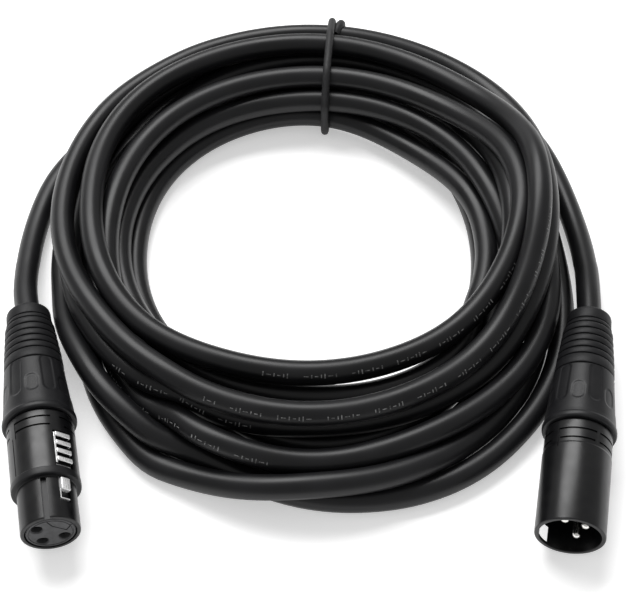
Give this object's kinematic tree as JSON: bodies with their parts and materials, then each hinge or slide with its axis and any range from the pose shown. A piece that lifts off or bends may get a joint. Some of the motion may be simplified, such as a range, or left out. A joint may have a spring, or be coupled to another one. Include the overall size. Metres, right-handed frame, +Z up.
{
  "type": "microphone cable coil",
  "caption": "Coiled, tied microphone cable with a latching female connector on one end and a male connector on the other, both with ribbed strain reliefs.",
  "frame": {"origin": "on the floor, midway between the two connectors (centre of the base of their common box, without the cord)", "axes": "+X from the female connector to the male one, +Y from the connectors' noses towards the tie, +Z up from the floor"},
  "size_m": [0.1784, 0.2008, 0.039],
  "materials": {
    "jacket": "satin black PVC",
    "shell": "glossy black chrome",
    "bushing": "satin black",
    "boot": "matte black",
    "insert": "matte dark grey",
    "contact": "silver plated",
    "latch": "bright nickel",
    "spring": "spring steel",
    "chuck": "natural white",
    "wire_white": "white insulation",
    "wire_red": "red insulation",
    "wire_shield": "bare copper strands",
    "tie": "black braided cord"
  },
  "bodies": {
    "root": {"cable_coil": "jacket", "cable_lead_female": "jacket", "cable_lead_male": "jacket", "tie_band": "tie", "tie_knot": "tie", "female_shell": "shell", "female_insert": "insert", "female_contact_1": "contact", "female_contact_2": "contact", "female_contact_3": "contact", "female_latch_spring": "spring", "male_shell": "shell", "male_insert": "insert", "male_pin_1": "contact", "male_pin_2": "contact", "male_pin_3": "contact", "female_bushing": "bushing", "female_boot": "boot", "female_chuck": "chuck", "female_cable_end": "jacket", "female_wire_shield": "wire_shield", "female_wire_red": "wire_red", "female_wire_white": "wire_white", "male_bushing": "bushing", "male_boot": "boot", "male_chuck": "chuck", "male_cable_end": "jacket", "male_wire_shield": "wire_shield", "male_wire_red": "wire_red", "male_wire_white": "wire_white"},
    "latch": {"female_latch": "latch"}
  },
  "joints": [
    {"name": "latch_release", "type": "hinge", "parent": "root", "child": "latch", "pos_m": [-0.06848, -0.00847, 0.01577], "axis": [0.731, 0.1344, -0.669], "range_deg": [0, 5.5], "stiffness_Nm_per_rad": 0.3, "springref_deg": -1.72}
  ]
}
